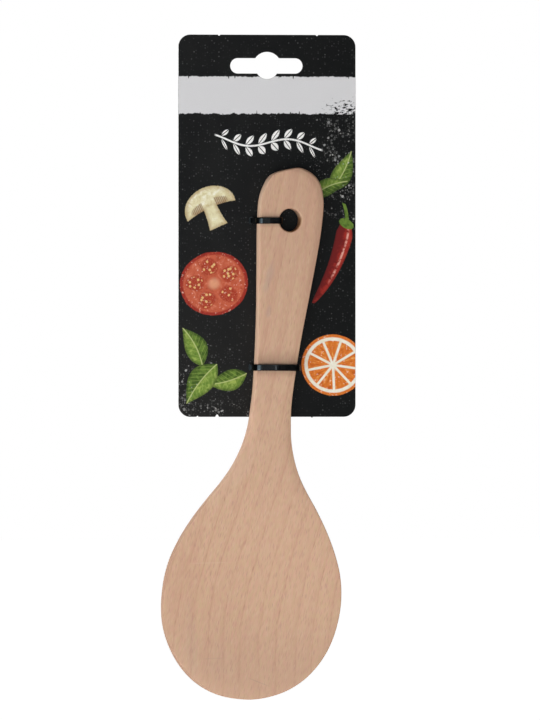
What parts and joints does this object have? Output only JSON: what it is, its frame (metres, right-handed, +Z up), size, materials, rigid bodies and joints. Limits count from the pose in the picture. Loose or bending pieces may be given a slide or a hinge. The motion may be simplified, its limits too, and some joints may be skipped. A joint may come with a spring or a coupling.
{
  "type": "wooden spoon",
  "caption": "Flat beech serving spoon with an egg-shaped blade and a drilled handle, held to a hang card with a euro slot by black cable ties.",
  "frame": {"origin": "top of the round middle of the card's euro slot, where a peg bears, half way through the card's thickness", "axes": "+Z up as it hangs, +X to the right seen from the front, +Y from the front to the back, so the spoon's front faces -Y"},
  "size_m": [0.0863, 0.0168, 0.2899],
  "materials": {
    "beech": "pale steamed beech, sanded and unvarnished, with fine dark ray flecks along the grain",
    "printed_card": "solid board printed near black on the front with chalk-like specks and a pale band, grey-white board on the back and on the cut edges",
    "black_nylon": "moulded black nylon, smooth and glossy"
  },
  "bodies": {
    "root": {"wooden_spoon": "beech", "backing_card": "printed_card", "upper_cable_tie": "black_nylon", "lower_cable_tie": "black_nylon"}
  },
  "joints": []
}
